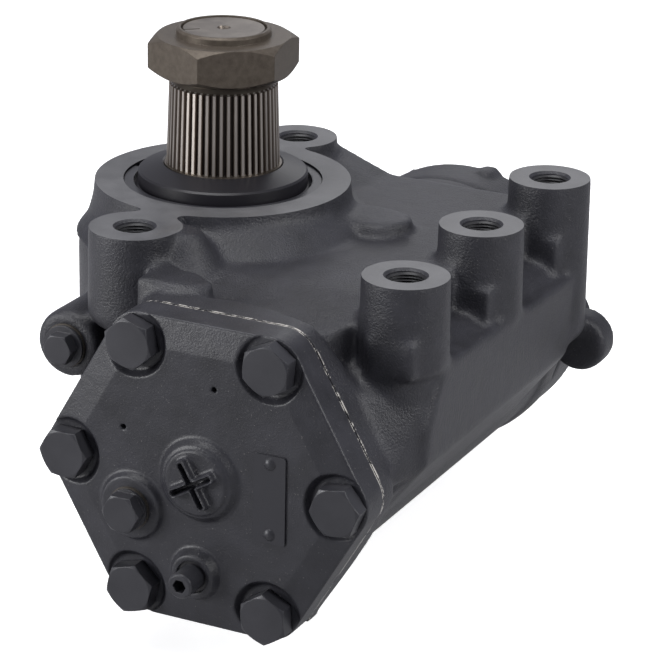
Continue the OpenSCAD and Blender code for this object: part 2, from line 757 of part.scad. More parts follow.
module sector_shaft() {
  serration_top = serration_z + serration_len;
  top_r = serration_r - serration_taper * serration_len;
  color("#6b5f52") difference() {
    union() {
      // Lower journal, sector, upper journal
      translate([0, 0, lower_journal_low]) bevelled(lower_journal_r, -cyl_depth - sector_w / 2 - lower_journal_low + eps, 1);
      translate([0, 0, cyl_z - sector_w / 2]) linear_extrude(sector_w) sector_profile();
      translate([0, 0, cyl_z + sector_w / 2 - eps]) cylinder(r = hub_r, h = chamber_top - 1 - cyl_z - sector_w / 2 + 2 * eps);
      translate([0, 0, chamber_top - 1]) cylinder(r = journal_r, h = -chamber_top + 1 - 3);
      translate([0, 0, -3 - eps]) cylinder(r1 = journal_r, r2 = journal_r - 1, h = 2);
      translate([0, 0, -1 - eps]) cylinder(r = journal_r - 1, h = serration_z);
      // Tapered serration
      translate([0, 0, serration_z - 1.2]) linear_extrude(serration_len + 1.2, scale = top_r / serration_r)
        polygon(serration_outline(serration_r, serration_teeth, serration_depth));
      // Rounded shoulder, neck and thread
      translate([0, 0, serration_top - eps]) cylinder(r1 = top_r - 0.9, r2 = top_r - 3, h = 2.4);
      translate([0, 0, serration_top]) cylinder(r = thread_r + 0.7, h = nut_z - serration_top - 0.8);
      translate([0, 0, serration_top]) bevelled(thread_r - 0.2, shaft_top_z - serration_top, 1);
    }
    // Centre hole, staking slit and the slot for the adjusting screw
    translate([0, 0, shaft_top_z - 4]) cylinder(r1 = 1.2, r2 = 3.4, h = 4 + eps);
    translate([0, 0, shaft_top_z - 12]) cylinder(r = 1.6, h = 9);
    rotate([0, 0, 222]) translate([12, -0.6, shaft_top_z - 3.5]) cube([12, 1.2, 6]);
    translate([0, 0, lower_journal_low - 1]) cylinder(r = screw_r + 1, h = 6);
    translate([0, 0, lower_journal_low + 2.6]) cylinder(r = 11.6, h = 5);
  }
}

module pitman_nut() {
  color("#5c564e") translate([0, 0, nut_z]) difference() {
    union() {
      rotate([0, 0, nut_turn]) hex_bar(nut_af, nut_h);
      translate([0, 0, nut_h - eps]) rotate_extrude() polygon([
        [0, 0], [nut_collar_r, 0], [nut_collar_r, nut_collar_h - 1], [nut_collar_r - 1, nut_collar_h], [0, nut_collar_h]
      ]);
      rotate([0, 0, 0]) translate([0, 0, -1.4]) cylinder(r1 = thread_r + 2.2, r2 = thread_r + 5.2, h = 1.5);
    }
    translate([0, 0, -4]) cylinder(r = thread_r, h = nut_h + nut_collar_h + 8);
    translate([0, 0, -4]) cylinder(r = thread_r + 0.9, h = 4);
  }
}

// Piston with its rack and ball nut

rack_tip = rack_offset + addendum * gear_module;
rack_flat_half = lock_travel + 22.5;
nut_bore_r = worm_r + 0.9;
nut_y = -24;
nut_len = ball_turns * worm_lead + 14;
nut_body_r = 19.4;

// One space between two rack teeth, seen along the shaft, opening towards the sector
module rack_space() {
  d = dedendum * gear_module;
  a = addendum * gear_module + 0.6;
  half = PI * gear_module / 4 + gear_play;
  t = tan(pressure_angle);
  polygon([
    [rack_offset + a, half + a * t], [rack_offset + a, -half - a * t],
    [rack_offset - d, -half + d * t], [rack_offset - d, half - d * t]
  ]);
}

module piston_rack() {
  blind_y = -piston_front + 11;
  color("#7d7f83") difference() {
    along_cylinder(-piston_front) bevelled(piston_r, piston_front + piston_rear, 2);
    // Flat for the rack, with three tooth spaces
    translate([cyl_x - bore_r - 10, -rack_flat_half, cyl_z - bore_r]) cube([bore_r + 10 - rack_tip, 2 * rack_flat_half, 2 * bore_r]);
    for (k = [-1:1]) translate([cyl_x, k * PI * gear_module, cyl_z - bore_r]) mirror([1, 0, 0])
      linear_extrude(2 * bore_r) rack_space();
    // Room for the worm and the ball nut
    along_cylinder(blind_y) cylinder(r = worm_r + 1.4, h = 200);
    along_cylinder(nut_y) cylinder(r = nut_body_r + fit, h = 200);
    // Ring groove
    along_cylinder(-piston_front + 8) tube(piston_r + 1, piston_r - 3.4, 4.2);
    // Flat for the ball return tube
    translate([cyl_x - 9, nut_y, cyl_z + 20]) cube([30, nut_len, 40]);
    translate([cyl_x + tube_x, nut_y + 7, cyl_z]) cylinder(r = tube_r + gap, h = 30);
    translate([cyl_x + tube_x, nut_y + nut_len - 7, cyl_z]) cylinder(r = tube_r + gap, h = 30);
  }
}

tube_x = 13.5;
tube_r = 4.6;

module piston_ring() {
  color("#3a3a3c") along_cylinder(-piston_front + 8.1) difference() {
    tube(bore_r - 0.08, piston_r - 3.2, 4);
    rotate([0, 0, -90]) translate([piston_r - 6, -0.8, -1]) cube([10, 1.6, 6]);
  }
}

module ball_nut() {
  color("#8c8a84") along_cylinder(nut_y + 0.2) difference() {
    cylinder(r = nut_body_r, h = nut_len);
    translate([0, 0, -1]) cylinder(r = ball_ring + ball_r + 0.15, h = nut_len - 3);
    translate([0, 0, -1]) cylinder(r = nut_bore_r, h = nut_len + 2);
    for (z = [6.8, nut_len - 7.2]) translate([tube_x, 0, z]) rotate([90, 0, 0]) cylinder(r = tube_r + 0.1, h = 30);
  }
}

// The balls lie on the worm's helix; at rest the helix crosses the +X side at the sector's height
module recirculating_balls() {
  count = ball_turns * balls_per_turn;
  color("#c8c8cc") along_cylinder(worm_mid_y) for (k = [0:count - 1]) {
    a = 360 * (k - (count - 1) / 2) / balls_per_turn;
    translate([ball_ring * cos(a), ball_ring * sin(a), worm_lead * a / 360]) sphere(ball_r, $fn = 32);
  }
}

worm_mid_y = nut_y + 7 + ball_turns * worm_lead / 2;

module ball_return_tube() {
  y0 = nut_y + 7;
  y1 = nut_y + nut_len - 7;
  top = 26;
  color("#b8b8bc") {
    difference() {
      union() {
        translate([cyl_x + tube_x, y0, cyl_z + 15.5]) cylinder(r = tube_r, h = top - 15.5);
        translate([cyl_x + tube_x, y1, cyl_z + 15.5]) cylinder(r = tube_r, h = top - 15.5);
        translate([cyl_x + tube_x, y0, cyl_z + top]) sphere(tube_r);
        translate([cyl_x + tube_x, y1, cyl_z + top]) sphere(tube_r);
        translate([cyl_x + tube_x, y0, cyl_z + top]) rotate([-90, 0, 0]) cylinder(r = tube_r, h = y1 - y0);
      }
      translate([cyl_x + tube_x, y0, cyl_z + 5]) cylinder(r = ball_r + 0.2, h = top - 5);
      translate([cyl_x + tube_x, y1, cyl_z + 5]) cylinder(r = ball_r + 0.2, h = top - 5);
      translate([cyl_x + tube_x, y0, cyl_z + top]) rotate([-90, 0, 0]) cylinder(r = ball_r + 0.2, h = y1 - y0);
    }
  }
}

// Worm

worm_front = -46;
worm_thread_end = 76;
groove_r = ball_r + 0.35;
worm_core_r = ball_ring - groove_r + 0.25;
worm_steps = 16;

// Cross-section of the land between two turns of the groove, as radius and place along the axis
function land_section() =
  let (half = worm_lead / 2, low = worm_core_r - 1,
       g = function (r) half - sqrt(max(0, groove_r * groove_r - pow(ball_ring - r, 2))))
  [for (r = [low, worm_core_r + 0.6, worm_core_r + 1.6, worm_r]) [r, -g(r)], for (r = [worm_r, worm_core_r + 1.6, worm_core_r + 0.6, low]) [r, g(r)]];

// The land as one closed band swept along its helix
module worm_land(length) {
  section = land_section();
  m = len(section);
  turns = length / worm_lead;
  n = ceil(turns * worm_steps);
  pts = [for (i = [0:n]) let (a = 360 * turns * i / n, z = length * i / n)
    for (p = section) [p[0] * cos(a), p[0] * sin(a), p[1] + z]];
  sides = [for (i = [0:n - 1]) for (j = [0:m - 1])
    [i * m + j, i * m + (j + 1) % m, (i + 1) * m + (j + 1) % m, (i + 1) * m + j]];
  polyhedron(pts, concat([[for (j = [m - 1:-1:0]) j]], sides, [[for (j = [0:m - 1]) n * m + j]]), convexity = 10);
}

module worm_shaft() {
  // The land starts half a lead away from the groove that holds the balls
  length = worm_thread_end - worm_front - 13;
  start = worm_front + 8;
  turn = 180 + 360 * (start - worm_mid_y) / worm_lead;
  color("#8f8f94") difference() {
    union() {
      along_cylinder(worm_front) bevelled(worm_core_r, worm_bearing_y - worm_front + eps, 1);
      along_cylinder(start) rotate([0, 0, turn]) worm_land(length);
      along_cylinder(worm_bearing_y - 7) cylinder(r = 17, h = 7);
      along_cylinder(worm_bearing_y - eps) cylinder(r = worm_seat_r, h = worm_bearing_w);
      along_cylinder(worm_bearing_y + worm_bearing_w - 2 * eps) cylinder(r = valve_core_r + 2.5, h = 6);
    }
    // Bore for the torsion bar, and the pocket for the input shaft's tip
    along_cylinder(-20) cylinder(r = torsion_r + 1.2, h = 200);
    along_cylinder(-20 - 12) cylinder(r = torsion_r + 0.02, h = 14);
    along_cylinder(worm_bearing_y + 2) cylinder(r = input_tip_r + 0.06, h = 60);
  }
}

worm_bearing_y = 97;
worm_bearing_w = 14;
worm_seat_r = 17.5;
torsion_r = 4;
input_tip_r = 9.5;
valve_core_r = 13;

module worm_bearing_outer_race() {
  color("#9a9a9e") along_cylinder(worm_bearing_y + 2.2) difference() {
    tube(worm_bearing_r - fit, worm_bearing_r - 4.6, worm_bearing_w - 2.4);
    translate([0, 0, (worm_bearing_w - 2.4) / 2]) torus(worm_ball_ring, worm_ball_r + 0.1);
  }
}

module worm_bearing_inner_race() {
  color("#9a9a9e") along_cylinder(worm_bearing_y + 0.2) difference() {
    tube(worm_seat_r + 4.4, worm_seat_r + fit, worm_bearing_w - 0.4);
    translate([0, 0, (worm_bearing_w - 2.4) / 2 + 2]) torus(worm_ball_ring, worm_ball_r + 0.1);
  }
}

worm_ball_ring = (worm_seat_r + worm_bearing_r) / 2;
worm_ball_r = 3.6;

module worm_bearing_balls() {
  color("#c8c8cc") along_cylinder(worm_bearing_y + 2.2 + (worm_bearing_w - 2.4) / 2) around(14, worm_ball_ring)
    sphere(worm_ball_r, $fn = 32);
}

// Valve housing with the rotary valve

valve_bore_r = 24;
sleeve_len = 34;

// Puts children on the valve's axis, looking out to the side at a given angle
module on_valve(a) {
  along_cylinder(port_y) rotate([0, 0, a]) rotate([0, 90, 0]) children();
}

// Puts children on the face of the relief valve's boss, looking backwards
module on_relief() {
  along_cylinder(valve_rear_y + 2) rotate([0, 0, 90]) translate([50, 0, 0]) children();
}

module valve_housing() {
  color("dimgray") difference() {
    union() {
      along_cylinder(valve_joint_y) bevelled(valve_r, valve_len, 3);
      along_cylinder(valve_joint_y - 2) cylinder(r = worm_bearing_r - fit, h = 3);
      along_cylinder(valve_rear_y - 1) cylinder(r1 = nose_r + 9, r2 = nose_r, h = 10);
      along_cylinder(valve_rear_y) bevelled(nose_r, nose_len, 1.5);
      // Pressure and return port on the side of the output shaft
      for (a = port_angles) on_valve(a) translate([0, 0, 50]) bevelled(port_boss_r, port_face - 50, 1.5);
      // Boss for the relief valve on the rear face, below the input shaft
      on_relief() translate([0, 0, -8]) bevelled(13, 8, 1.5);
    }
    along_cylinder(valve_joint_y - 10) cylinder(r = valve_bore_r, h = sleeve_len + 12);
    along_cylinder(valve_joint_y - 10) cylinder(r = input_shaft_r + 1.5, h = 100);
    along_cylinder(input_bearing_y) cylinder(r = input_race_r, h = 60);
    along_cylinder(input_seal_y) cylinder(r = input_seat_r, h = 60);
    // Ports into the sleeve's ring grooves
    for (a = port_angles) on_valve(a) {
      translate([0, 0, port_face - 17]) cylinder(r = port_r, h = 18);
      translate([0, 0, 12]) cylinder(r = 5, h = port_face - 20);
    }
    // Relief valve hole
    on_relief() translate([0, 0, -24]) cylinder(r = relief_r, h = 26);
    // Bolt holes with faced seats
    along_cylinder(valve_joint_y - 1) around(6, valve_bolt_ring) cylinder(r = valve_bolt_r + 0.5, h = 60);
    along_cylinder(valve_rear_y - 2) around(6, valve_bolt_ring) cylinder(r = 10, h = 10);
    along_cylinder(valve_joint_y - 1) tube(39.5, 36, 3.4);
  }
}

port_y = valve_joint_y + valve_len / 2;
port_boss_r = 15;
port_face = valve_r + 6;
port_angles = [148, 212];
relief_r = 7;
input_shaft_r = 12.5;
input_bearing_y = valve_joint_y + sleeve_len + 3;
input_race_r = input_shaft_r + 5;
input_race_h = 9.5;
input_seal_y = input_bearing_y + input_race_h + 0.5;
input_seat_r = 20;

module valve_housing_bolts() {
  color("#4a4a4d") along_cylinder(valve_rear_y - 2) around(6, valve_bolt_ring)
    hex_bolt(valve_bolt_r - fit, valve_len + 14, 16, 6.4, 7.8);
}

module valve_housing_o_ring() {
  color("black") along_cylinder(valve_joint_y + 1.15) torus(37.75, 1.1);
}

module valve_sleeve() {
  color("#a3a3a0") along_cylinder(sleeve_y) difference() {
    cylinder(r = valve_bore_r - fit, h = sleeve_body);
    translate([0, 0, -1]) cylinder(r = input_shaft_r + 0.08, h = sleeve_body + 2);
    translate([0, 0, -1]) cylinder(r = valve_core_r + 2.5 + fit, h = 6);
    for (z = [9, 19]) translate([0, 0, z]) tube(valve_bore_r + 1, valve_bore_r - 3, 5);
    for (z = [6, 15.2, 25.2]) translate([0, 0, z]) tube(valve_bore_r + 1, valve_bore_r - 2.4, 2);
    for (a = [0:120:359]) rotate([0, 0, a]) translate([0, 0, 11.5]) rotate([90, 0, 0]) cylinder(r = 2, h = 40);
    for (a = [60:120:359]) rotate([0, 0, a]) translate([0, 0, 21.5]) rotate([90, 0, 0]) cylinder(r = 2, h = 40);
  }
}

sleeve_y = valve_joint_y + 2;
sleeve_body = 30;

module valve_sleeve_rings() {
  color("#3a3a3c") along_cylinder(sleeve_y) for (z = [6.1, 15.3, 25.3]) translate([0, 0, z])
    tube(valve_bore_r - 0.06, valve_bore_r - 2.3, 1.8);
}

module torsion_bar() {
  length = input_pin_y + 37;
  thin = torsion_r - 1;
  thick = torsion_r - 0.06;
  color("#8f8f94") difference() {
    along_cylinder(-31) rotate_extrude() polygon([
      [0, 0], [thick - 0.6, 0], [thick, 0.6], [thick, 12], [thin, 16], [thin, length - 22],
      [thick, length - 18], [thick, length - 0.6], [thick - 0.6, length], [0, length]
    ]);
    translate([cyl_x, input_pin_y, cyl_z - 10]) cylinder(r = 1.85, h = 20);
  }
}

input_pin_y = nose_y + 20;
input_end_y = nose_y + 12 + input_serration_len;

// Pin that ties the torsion bar to the input shaft
module torsion_bar_pin() {
  color("#b0b0b4") translate([cyl_x, input_pin_y, cyl_z - input_r + 1.6])
    cylinder(r = 1.8, h = 2 * input_r - 3.2);
}

module input_shaft() {
  color("#77726a") difference() {
    union() {
      along_cylinder(worm_bearing_y + 4) cylinder(r = input_tip_r, h = sleeve_y - worm_bearing_y);
      along_cylinder(sleeve_y + 2.6) cylinder(r = input_shaft_r, h = nose_y + 2.5 - sleeve_y);
      along_cylinder(nose_y + 5) cylinder(r1 = input_shaft_r, r2 = input_r - 1.2, h = 3);
      along_cylinder(nose_y + 7) cylinder(r = input_r - 1.3, h = 5.5);
      along_cylinder(nose_y + 12) linear_extrude(input_serration_len)
        polygon(serration_outline(input_r, input_teeth, 1));
    }
    // Bore for the torsion bar, the pin hole and six grooves that steer the oil
    along_cylinder(worm_bearing_y) cylinder(r = torsion_r, h = input_pin_y + 7 - worm_bearing_y);
    translate([cyl_x, input_pin_y, cyl_z - 30]) cylinder(r = 1.85, h = 60);
    for (a = [0:60:359]) along_cylinder(sleeve_y + 7) rotate([0, 0, a]) translate([input_shaft_r - 1.4, -1.8, 0])
      cube([4, 3.6, 20]);
  }
}

module input_bearing_race() {
  color("#9a9a9e") along_cylinder(input_bearing_y)
    tube(input_race_r - fit, input_shaft_r + 3 + 2 * fit, input_race_h);
}

module input_bearing_rollers() {
  color("#b0b0b4") along_cylinder(input_bearing_y + 1) around(24, input_shaft_r + 1.5 + fit)
    cylinder(r = 1.5, h = input_race_h - 2, $fn = 24);
}

module input_shaft_seal() {
  color("black") along_cylinder(input_seal_y + 0.2) rotate_extrude() polygon([
    [input_shaft_r + fit, 1.8], [input_shaft_r + 2, 0], [input_seat_r - fit, 0], [input_seat_r - fit, 4.6],
    [input_shaft_r + 4, 4.6], [input_shaft_r + 3, 3.4], [input_shaft_r + fit, 3.4]
  ]);
}

module input_seal_ring() {
  color("#303034") along_cylinder(input_seal_y + 5) difference() {
    tube(input_seat_r - 0.15, input_seat_r - 3.4, 1.4);
    translate([input_seat_r - 5, -2, -1]) cube([8, 4, 4]);
  }
}

module input_dust_cap() {
  color("#26262a") along_cylinder(nose_y - 0.8) rotate_extrude() polygon([
    [nose_r - 8, 0.8], [nose_r - 5, 0.8], [nose_r - 6, 3.4], [input_shaft_r + 2.6, 5.2], [input_shaft_r + 0.06, 5.2],
    [input_shaft_r + 0.06, 3.2], [input_shaft_r + 2, 3.2], [nose_r - 9, 1.8]
  ]);
}

module relief_valve_plug() {
  color("#3c3c3f") on_relief() {
    translate([0, 0, -16]) bevelled(relief_r - fit, 17.6, 0.6);
    translate([0, 0, 1.5]) cylinder(r = 11, h = 1.6);
    translate([0, 0, 3]) hex_bar(17, 4.5, low = false);
  }
}

module relief_plug_seal() {
  color("#55504a") on_relief() tube(11, relief_r + fit, 1.5);
}

housing();
cylinder_cover();
cover_bolts();
cover_o_ring();
cover_port_plug();
cover_plug_seal();
limiter_screw();
limiter_seal();
type_plate();
plate_rivets();
side_port_plug();
side_plug_seal();
side_cover();
side_cover_bolts();
side_cover_o_ring();
lash_adjusting_screw();
lash_lock_nut();
upper_bearing_race();
upper_bearing_rollers();
lower_bearing_race();
lower_bearing_rollers();
shaft_seal();
seal_retaining_ring();
dust_cap();
sector_shaft();
pitman_nut();
piston_rack();
piston_ring();
ball_nut();
recirculating_balls();
ball_return_tube();
worm_shaft();
worm_bearing_outer_race();
worm_bearing_inner_race();
worm_bearing_balls();
valve_housing();
valve_housing_bolts();
valve_housing_o_ring();
valve_sleeve();
valve_sleeve_rings();
torsion_bar();
torsion_bar_pin();
input_shaft();
input_bearing_race();
input_bearing_rollers();
input_shaft_seal();
input_seal_ring();
input_dust_cap();
relief_valve_plug();
relief_plug_seal();
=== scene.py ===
"""Looks of the power steering gear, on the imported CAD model.

The castings get rounded edges and crisp machined faces, every node gets its finish, and a studio
with a camera, four softboxes and a white floor shows the gear as the photograph does.
"""

import logging
import math
from collections.abc import Callable, Sequence
from dataclasses import dataclass
from enum import Enum

import bpy
from mathutils import Matrix, Vector


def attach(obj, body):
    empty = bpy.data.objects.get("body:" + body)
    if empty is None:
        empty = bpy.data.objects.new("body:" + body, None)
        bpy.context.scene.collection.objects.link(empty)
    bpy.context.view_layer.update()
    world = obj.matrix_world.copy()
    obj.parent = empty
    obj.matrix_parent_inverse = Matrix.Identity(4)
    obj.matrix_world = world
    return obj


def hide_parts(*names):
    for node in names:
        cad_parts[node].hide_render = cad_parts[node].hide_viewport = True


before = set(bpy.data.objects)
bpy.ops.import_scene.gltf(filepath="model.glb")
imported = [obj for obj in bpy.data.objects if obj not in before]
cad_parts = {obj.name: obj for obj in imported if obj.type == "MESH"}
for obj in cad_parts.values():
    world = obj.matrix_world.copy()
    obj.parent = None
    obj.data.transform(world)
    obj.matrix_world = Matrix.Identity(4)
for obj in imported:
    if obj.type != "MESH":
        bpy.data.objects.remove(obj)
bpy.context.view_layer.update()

MM = 0.001
LOG = logging.getLogger("steering_gear")

Point = tuple[float, float, float]


# ---- plain helpers ----


def from_hex(code: str) -> tuple[float, float, float, float]:
    """Turns an sRGB colour into linear values.

    Args:
        code: The colour as six hex digits.

    Returns:
        Red, green, blue and alpha as the shaders take them.
    """
    values = []
    for start in (0, 2, 4):
        s = int(code[start : start + 2], 16) / 255
        values.append(s / 12.92 if s <= 0.04045 else ((s + 0.055) / 1.055) ** 2.4)
    return (*values, 1.0)


def nothing_selected() -> None:
    """Leaves object mode with nothing selected."""
    if bpy.context.object and bpy.context.object.mode != "OBJECT":
        bpy.ops.object.mode_set(mode="OBJECT")
    bpy.ops.object.select_all(action="DESELECT")


def make_active(obj: bpy.types.Object) -> None:
    """Selects one object and makes it the active one."""
    nothing_selected()
    obj.select_set(True)
    bpy.context.view_layer.objects.active = obj


def apply_modifier(obj: bpy.types.Object, kind: str, **values: object) -> None:
    """Adds one modifier, sets its values and applies it.

    Args:
        obj: The object to change.
        kind: Blender's name of the modifier type.
        values: The modifier's settings.
    """
    make_active(obj)
    modifier = obj.modifiers.new(kind.title(), kind)
    for key, value in values.items():
        setattr(modifier, key, value)
    bpy.ops.object.modifier_apply(modifier=modifier.name)


def smooth_shade(obj: bpy.types.Object, angle: float) -> None:
    """Shades an object smooth but for edges sharper than an angle in degrees."""
    make_active(obj)
    bpy.ops.object.shade_smooth_by_angle(angle=math.radians(angle))


def copy_of_node(node: str, name: str) -> bpy.types.Object:
    """Makes a new piece that starts as a copy of a CAD node's mesh.

    Args:
        node: The CAD node.
        name: The new piece's name.

    Returns:
        The new object, with its own merged mesh and no material.
    """
    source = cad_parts[node]
    piece = bpy.data.objects.new(name, source.data.copy())
    piece.data.materials.clear()
    bpy.context.scene.collection.objects.link(piece)
    make_active(piece)
    bpy.ops.object.mode_set(mode="EDIT")
    bpy.ops.mesh.select_all(action="SELECT")
    bpy.ops.mesh.remove_doubles(threshold=0.001 * MM)
    bpy.ops.object.mode_set(mode="OBJECT")
    return piece


# ---- finishes ----


class Shader:
    """The nodes of a material or of the world, with one function that adds any node."""

    def __init__(
        self,
        owner: bpy.types.Material | bpy.types.World,
        surface: str = "Principled BSDF",
    ) -> None:
        """Starts on the nodes of a new material or world.

        Args:
            owner: The material or world.
            surface: The name of the node that the others feed.
        """
        owner.use_nodes = True
        self.owner = owner
        self.tree = owner.node_tree
        self.surface = self.tree.nodes[surface]

    def add(
        self,
        kind: str,
        inputs: dict[str | int, object] | None = None,
        out: str | int = 0,
        stops: Sequence[tuple[float, str]] = (),
        **settings: object,
    ) -> bpy.types.NodeSocket:
        """Adds one node with its settings and links.

        Args:
            kind: The node type without its ShaderNode prefix.
            inputs: Values or sockets for the node's inputs, by name or number.
            out: The output that is wanted, by name or number.
            stops: Places from 0 to 1 with their sRGB colours, for a colour ramp.
            settings: The node's own properties.

        Returns:
            The wanted output.
        """
        node = self.tree.nodes.new("ShaderNode" + kind)
        for key, value in settings.items():
            setattr(node, key, value)
        for key, value in (inputs or {}).items():
            if isinstance(value, bpy.types.NodeSocket):
                self.tree.links.new(value, node.inputs[key])
            else:
                node.inputs[key].default_value = value
        for number, (place, colour) in enumerate(stops):
            elements = node.color_ramp.elements
            # A new ramp has two stops
            element = elements[number] if number < 2 else elements.new(place)
            element.position = place
            element.color = from_hex(colour)
        return node.outputs[out]

    def relief(
        self,
        layers: Sequence[tuple[bpy.types.NodeSocket, float]],
        edge_mm: float = 0.0,
    ) -> None:
        """Gives the surface fine relief.

        Args:
            layers: Height sockets, each with its depth in millimetres.
            edge_mm: How far the piece's edges look rounded, in millimetres.
        """
        normal = self.add("Bevel", {"Radius": edge_mm * MM}) if edge_mm else None
        for height, depth in layers:
            inputs = {"Height": height, "Distance": depth * MM, "Strength": 1.0}
            if normal is not None:
                inputs["Normal"] = normal
            normal = self.add("Bump", inputs)
        self.set(Normal=normal)

    def set(self, **values: object) -> None:
        """Sets the surface's sockets; underscores in names stand for spaces."""
        for key, value in values.items():
            socket = self.surface.inputs[key.replace("_", " ")]
            if isinstance(value, bpy.types.NodeSocket):
                self.tree.links.new(value, socket)
            else:
                socket.default_value = value


def sized(
    where: bpy.types.NodeSocket,
    size_mm: float,
    detail: float = 2.0,
    rough: float = 0.5,
) -> dict[str, object]:
    """Works out a noise pattern's inputs from a real size.

    Args:
        where: The coordinates that the pattern follows.
        size_mm: About how wide its features are, in millimetres.
        detail: How many finer layers it has.
        rough: How strong the finer layers are.

    Returns:
        The inputs of the pattern's node.
    """
    return {"Vector": where, "Scale": 1 / (size_mm * MM), "Detail": detail, "Roughness": rough}


@dataclass(frozen=True)
class CastPaint:
    """Dark paint over cast iron with the grain of the sand mould.

    The sand's own grain is about 0.4 mm and is drawn as 1 mm, because it is too fine to show.
    """

    name: str = "cast_paint"
    dark: str = "212125"
    light: str = "2C2C31"
    grain_mm: float = 1.0
    grain_depth_mm: float = 0.42
    wave_mm: float = 9.0
    wave_depth_mm: float = 0.3
    rough: tuple[float, float] = (0.34, 0.46)
    sheen: float = 0.34
    worn: str = "BDB9B3"
    dust: str = "6E6C6A"
    gap: str = "060607"
    seam_y_mm: float = -131.0
    seam_width_mm: float = 1.4
    gap_width_mm: float = 0.35
    patch_mm: float = 16.0
    speck_mm: float = 0.9
    speck_share: float = 0.6
    chip_mm: float = 12.0

    def make(self) -> bpy.types.Material:
        """Builds the material.

        Returns:
            The material.
        """
        s = Shader(bpy.data.materials.new(self.name))
        where = s.add("TexCoord", out="Object")
        patches = s.add("TexNoise", sized(where, self.patch_mm, 4.0, 0.6))
        grain = s.add("TexNoise", sized(where, self.grain_mm, 3.0, 0.6))
        waves = s.add("TexNoise", sized(where, self.wave_mm))
        colour = s.add("ValToRGB", {"Fac": patches}, stops=[(0.3, self.dark), (0.7, self.light)])
        # Small grains of dust
        dots = s.add("TexNoise", sized(where, self.speck_mm, 1.0))
        specks = s.add("MapRange", {"Value": dots, "From Min": 0.72, "From Max": 0.79})
        dust = s.add("Math", {0: specks, 1: self.speck_share}, operation="MULTIPLY")
        # Paint chipped off beside the cover's seam
        depth = s.add("SeparateXYZ", {0: where}, out=1)
        past = s.add("Math", {0: depth, 1: self.seam_y_mm * MM}, operation="SUBTRACT")
        off = s.add("Math", {0: past, 1: 0.0}, operation="ABSOLUTE")
        band, gap = self.seam_width_mm * MM, self.gap_width_mm * MM
        near = s.add("MapRange", {"Value": off, "From Min": band, "From Max": 0.5 * band})
        flakes = s.add("TexNoise", sized(where, self.chip_mm, 8.0, 0.8))
        bare = s.add("MapRange", {"Value": flakes, "From Min": 0.485, "From Max": 0.52})
        chips = s.add("Math", {0: near, 1: bare}, operation="MULTIPLY")
        # The dark line between the cover and the housing
        in_gap = s.add("MapRange", {"Value": off, "From Min": gap, "From Max": 0.6 * gap})
        for share, code in ((dust, self.dust), (chips, self.worn), (in_gap, self.gap)):
            mixed = {0: share, 6: colour, 7: from_hex(code)}
            colour = s.add("Mix", mixed, out=2, data_type="RGBA")
        low, high = self.rough
        s.set(
            Base_Color=colour,
            Roughness=s.add("MapRange", {"Value": patches, "To Min": low, "To Max": high}),
            Metallic=0.0,
            Specular_IOR_Level=self.sheen,
        )
        s.relief([(waves, self.wave_depth_mm), (grain, self.grain_depth_mm)])
        return s.owner


@dataclass(frozen=True)
class Steel:
    """Bare or dark steel with a slightly uneven sheen.

    The marks of grinding and forging are about 0.1 mm wide and are drawn as 0.5 mm, because they
    are too fine to show.
    """

    name: str
    dark: str
    light: str
    metallic: float = 0.9
    rough: tuple[float, float] = (0.28, 0.42)
    patch_mm: float = 9.0
    scratch_depth_mm: float = 0.01
    edge_mm: float = 0.0
    sheen: float = 0.25
    scratch_mm: float = 0.5

    def make(self) -> bpy.types.Material:
        """Builds the material.

        Returns:
            The material.
        """
        s = Shader(bpy.data.materials.new(self.name))
        where = s.add("TexCoord", out="Object")
        patches = s.add("TexNoise", sized(where, self.patch_mm, 4.0, 0.6))
        marks = s.add("TexNoise", sized(where, self.scratch_mm))
        stops = [(0.3, self.dark), (0.7, self.light)]
        low, high = self.rough
        s.set(
            Base_Color=s.add("ValToRGB", {"Fac": patches}, stops=stops),
            Roughness=s.add("MapRange", {"Value": patches, "To Min": low, "To Max": high}),
            Metallic=self.metallic,
            Specular_IOR_Level=self.sheen,
        )
        s.relief([(marks, self.scratch_depth_mm)], self.edge_mm)
        return s.owner


